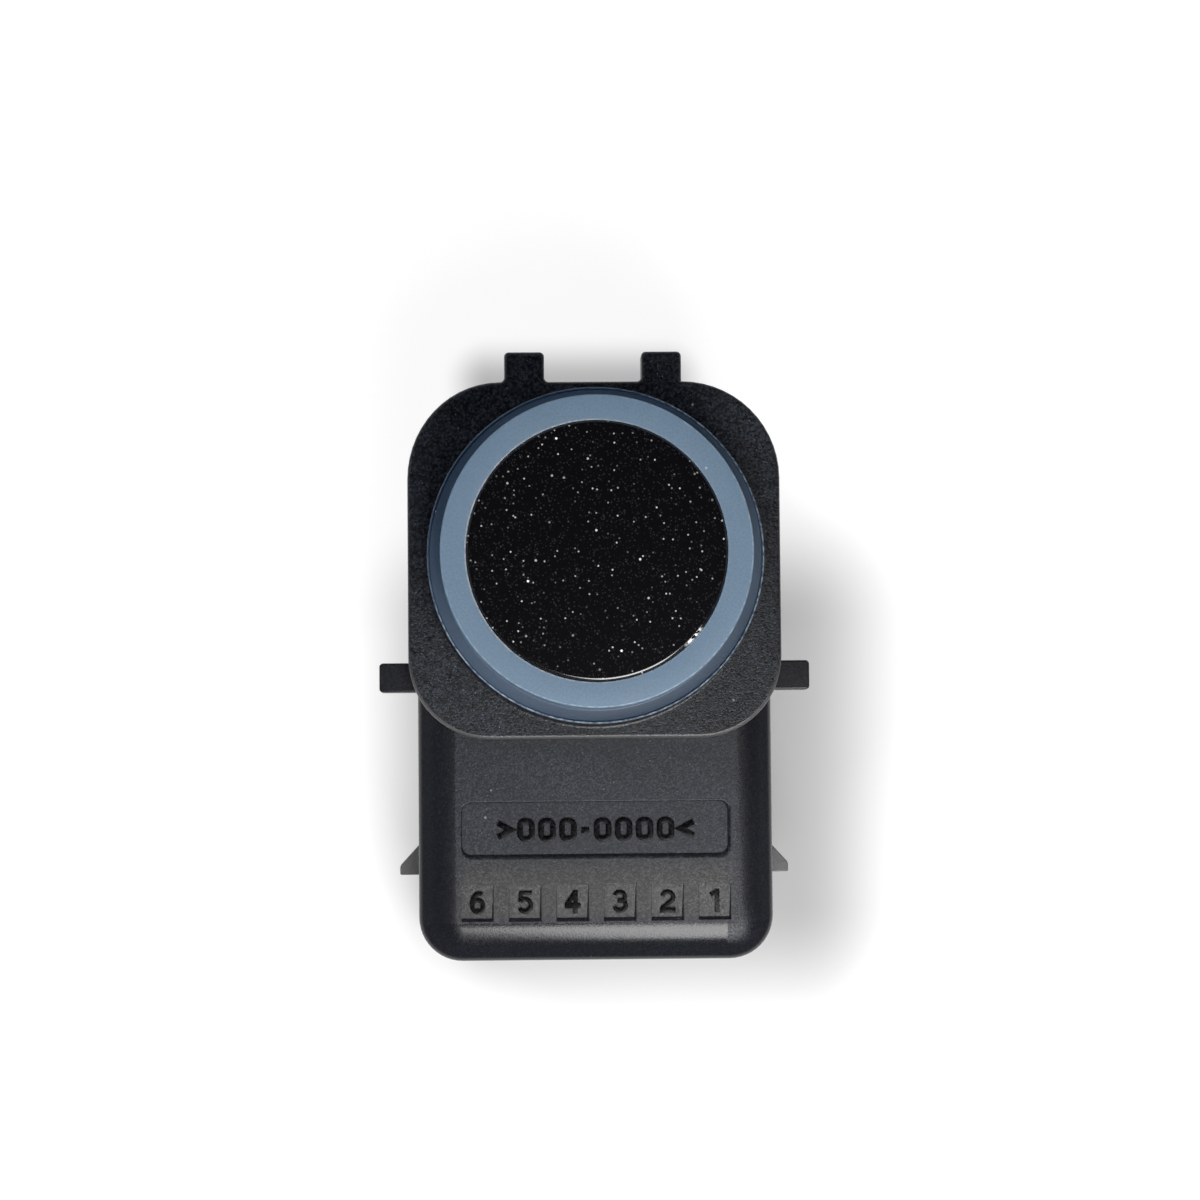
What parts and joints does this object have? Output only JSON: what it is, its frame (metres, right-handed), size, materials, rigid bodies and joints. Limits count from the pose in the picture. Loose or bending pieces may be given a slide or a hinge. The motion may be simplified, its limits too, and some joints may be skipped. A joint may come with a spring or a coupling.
{
  "type": "parking sensor",
  "caption": "Ultrasonic parking sensor with a round face in a soft ring, a rounded square flange, and a housing with side barbs and a rear connector socket.",
  "frame": {"origin": "under the middle of the sensor's outline, on the plane of its rear rim", "axes": "+Z from the rear rim towards the sensing face, +Y from the socket end towards the two top tabs, +X to the right as seen from the sensing side"},
  "size_m": [0.0276, 0.0388, 0.0245],
  "materials": {
    "housing_plastic": "fine moulded grain",
    "bezel_plastic": "coarse moulded grain",
    "silicone": "smooth matt, blue-grey",
    "painted_pot": "gloss black paint with fine flakes",
    "piezo_ceramic": "fired",
    "foam": "open cell foam",
    "filler_silicone": "cast",
    "copper_wire": "enamelled copper",
    "board_laminate": "solder mask",
    "ferrite": "sintered",
    "chip_resin": "moulded",
    "capacitor_resin": "moulded",
    "capacitor_ceramic": "fired",
    "tinned_terminal": "bright tin plate",
    "potting_resin": "cast, glossy"
  },
  "bodies": {
    "root": {"rear_housing": "housing_plastic", "front_bezel": "bezel_plastic", "decoupling_ring": "silicone", "membrane_pot": "painted_pot", "piezo_disc": "piezo_ceramic", "damping_foam": "foam", "pot_filler": "filler_silicone", "piezo_lead_1": "copper_wire", "piezo_lead_2": "copper_wire", "circuit_board": "board_laminate", "transformer_core": "ferrite", "transformer_winding": "copper_wire", "driver_chip": "chip_resin", "storage_capacitor": "capacitor_resin", "tuning_capacitor": "capacitor_ceramic", "filter_capacitor": "capacitor_ceramic", "bleed_resistor": "chip_resin", "terminal_1": "tinned_terminal", "terminal_2": "tinned_terminal", "terminal_3": "tinned_terminal", "terminal_4": "tinned_terminal", "terminal_5": "tinned_terminal", "terminal_6": "tinned_terminal", "potting": "potting_resin"}
  },
  "joints": []
}
